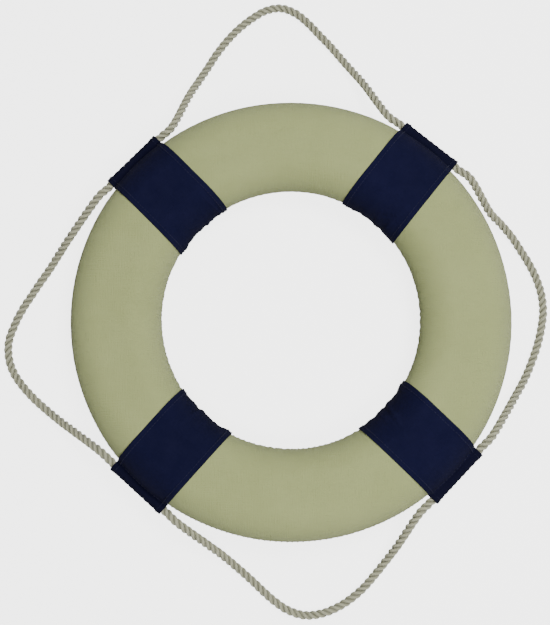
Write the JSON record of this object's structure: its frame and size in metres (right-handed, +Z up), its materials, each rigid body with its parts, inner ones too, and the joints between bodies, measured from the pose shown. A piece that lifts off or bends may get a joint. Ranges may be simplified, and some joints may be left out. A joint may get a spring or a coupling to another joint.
{
  "type": "ring lifebuoy",
  "caption": "Canvas-covered foam ring with dark cloth bands whose outer sleeves hold a twisted grab line in free loops; it lies flat.",
  "frame": {"origin": "under the middle of the ring, on the surface that the ring lies on", "axes": "+Z up through the hole, +Y towards the top loop and +X towards the right loop, as seen from above"},
  "size_m": [0.6332, 0.7225, 0.0726],
  "materials": {
    "foam": "matte",
    "canvas": "matte",
    "band_cloth": "matte",
    "canvas_thread": "matte",
    "band_thread": "matte",
    "rope": "matte",
    "tape": "matte"
  },
  "bodies": {
    "ring": {"foam_core": "foam", "cover_front": "canvas", "cover_back": "canvas", "outer_seam_thread": "canvas_thread", "inner_seam_thread": "canvas_thread", "band_top_right": "band_cloth", "band_top_left": "band_cloth", "band_bottom_left": "band_cloth", "band_bottom_right": "band_cloth", "stitching_front_top_right": "band_thread", "stitching_front_top_left": "band_thread", "stitching_front_bottom_left": "band_thread", "stitching_front_bottom_right": "band_thread", "stitching_back_top_right": "band_thread", "stitching_back_top_left": "band_thread", "stitching_back_bottom_left": "band_thread", "stitching_back_bottom_right": "band_thread", "grab_line_in_top_right": "rope", "grab_line_in_top_left": "rope", "grab_line_in_bottom_right": "rope", "grab_line_end_a": "rope", "grab_line_end_b": "rope", "grab_line_join_tape": "tape"},
    "top_loop": {"grab_line_top": "rope"},
    "right_loop": {"grab_line_right": "rope"},
    "bottom_loop": {"grab_line_bottom": "rope"},
    "left_loop": {"grab_line_left": "rope"}
  },
  "joints": [
    {"name": "top_loop_swing", "type": "hinge", "parent": "ring", "child": "top_loop", "pos_m": [-0.15025, 0.2107, 0.0363], "axis": [0.9985, 0.0541, 0], "range_deg": [0, 75]},
    {"name": "right_loop_swing", "type": "hinge", "parent": "ring", "child": "right_loop", "pos_m": [0.19264, 0.1728, 0.0363], "axis": [0.0654, -0.9979, 0], "range_deg": [0, 75]},
    {"name": "bottom_loop_swing", "type": "hinge", "parent": "ring", "child": "bottom_loop", "pos_m": [0.15499, -0.20724, 0.0363], "axis": [-0.9993, -0.0366, 0], "range_deg": [0, 75]},
    {"name": "left_loop_swing", "type": "hinge", "parent": "ring", "child": "left_loop", "pos_m": [-0.20226, -0.16142, 0.0363], "axis": [-0.0253, 0.9997, 0], "range_deg": [0, 75]}
  ]
}
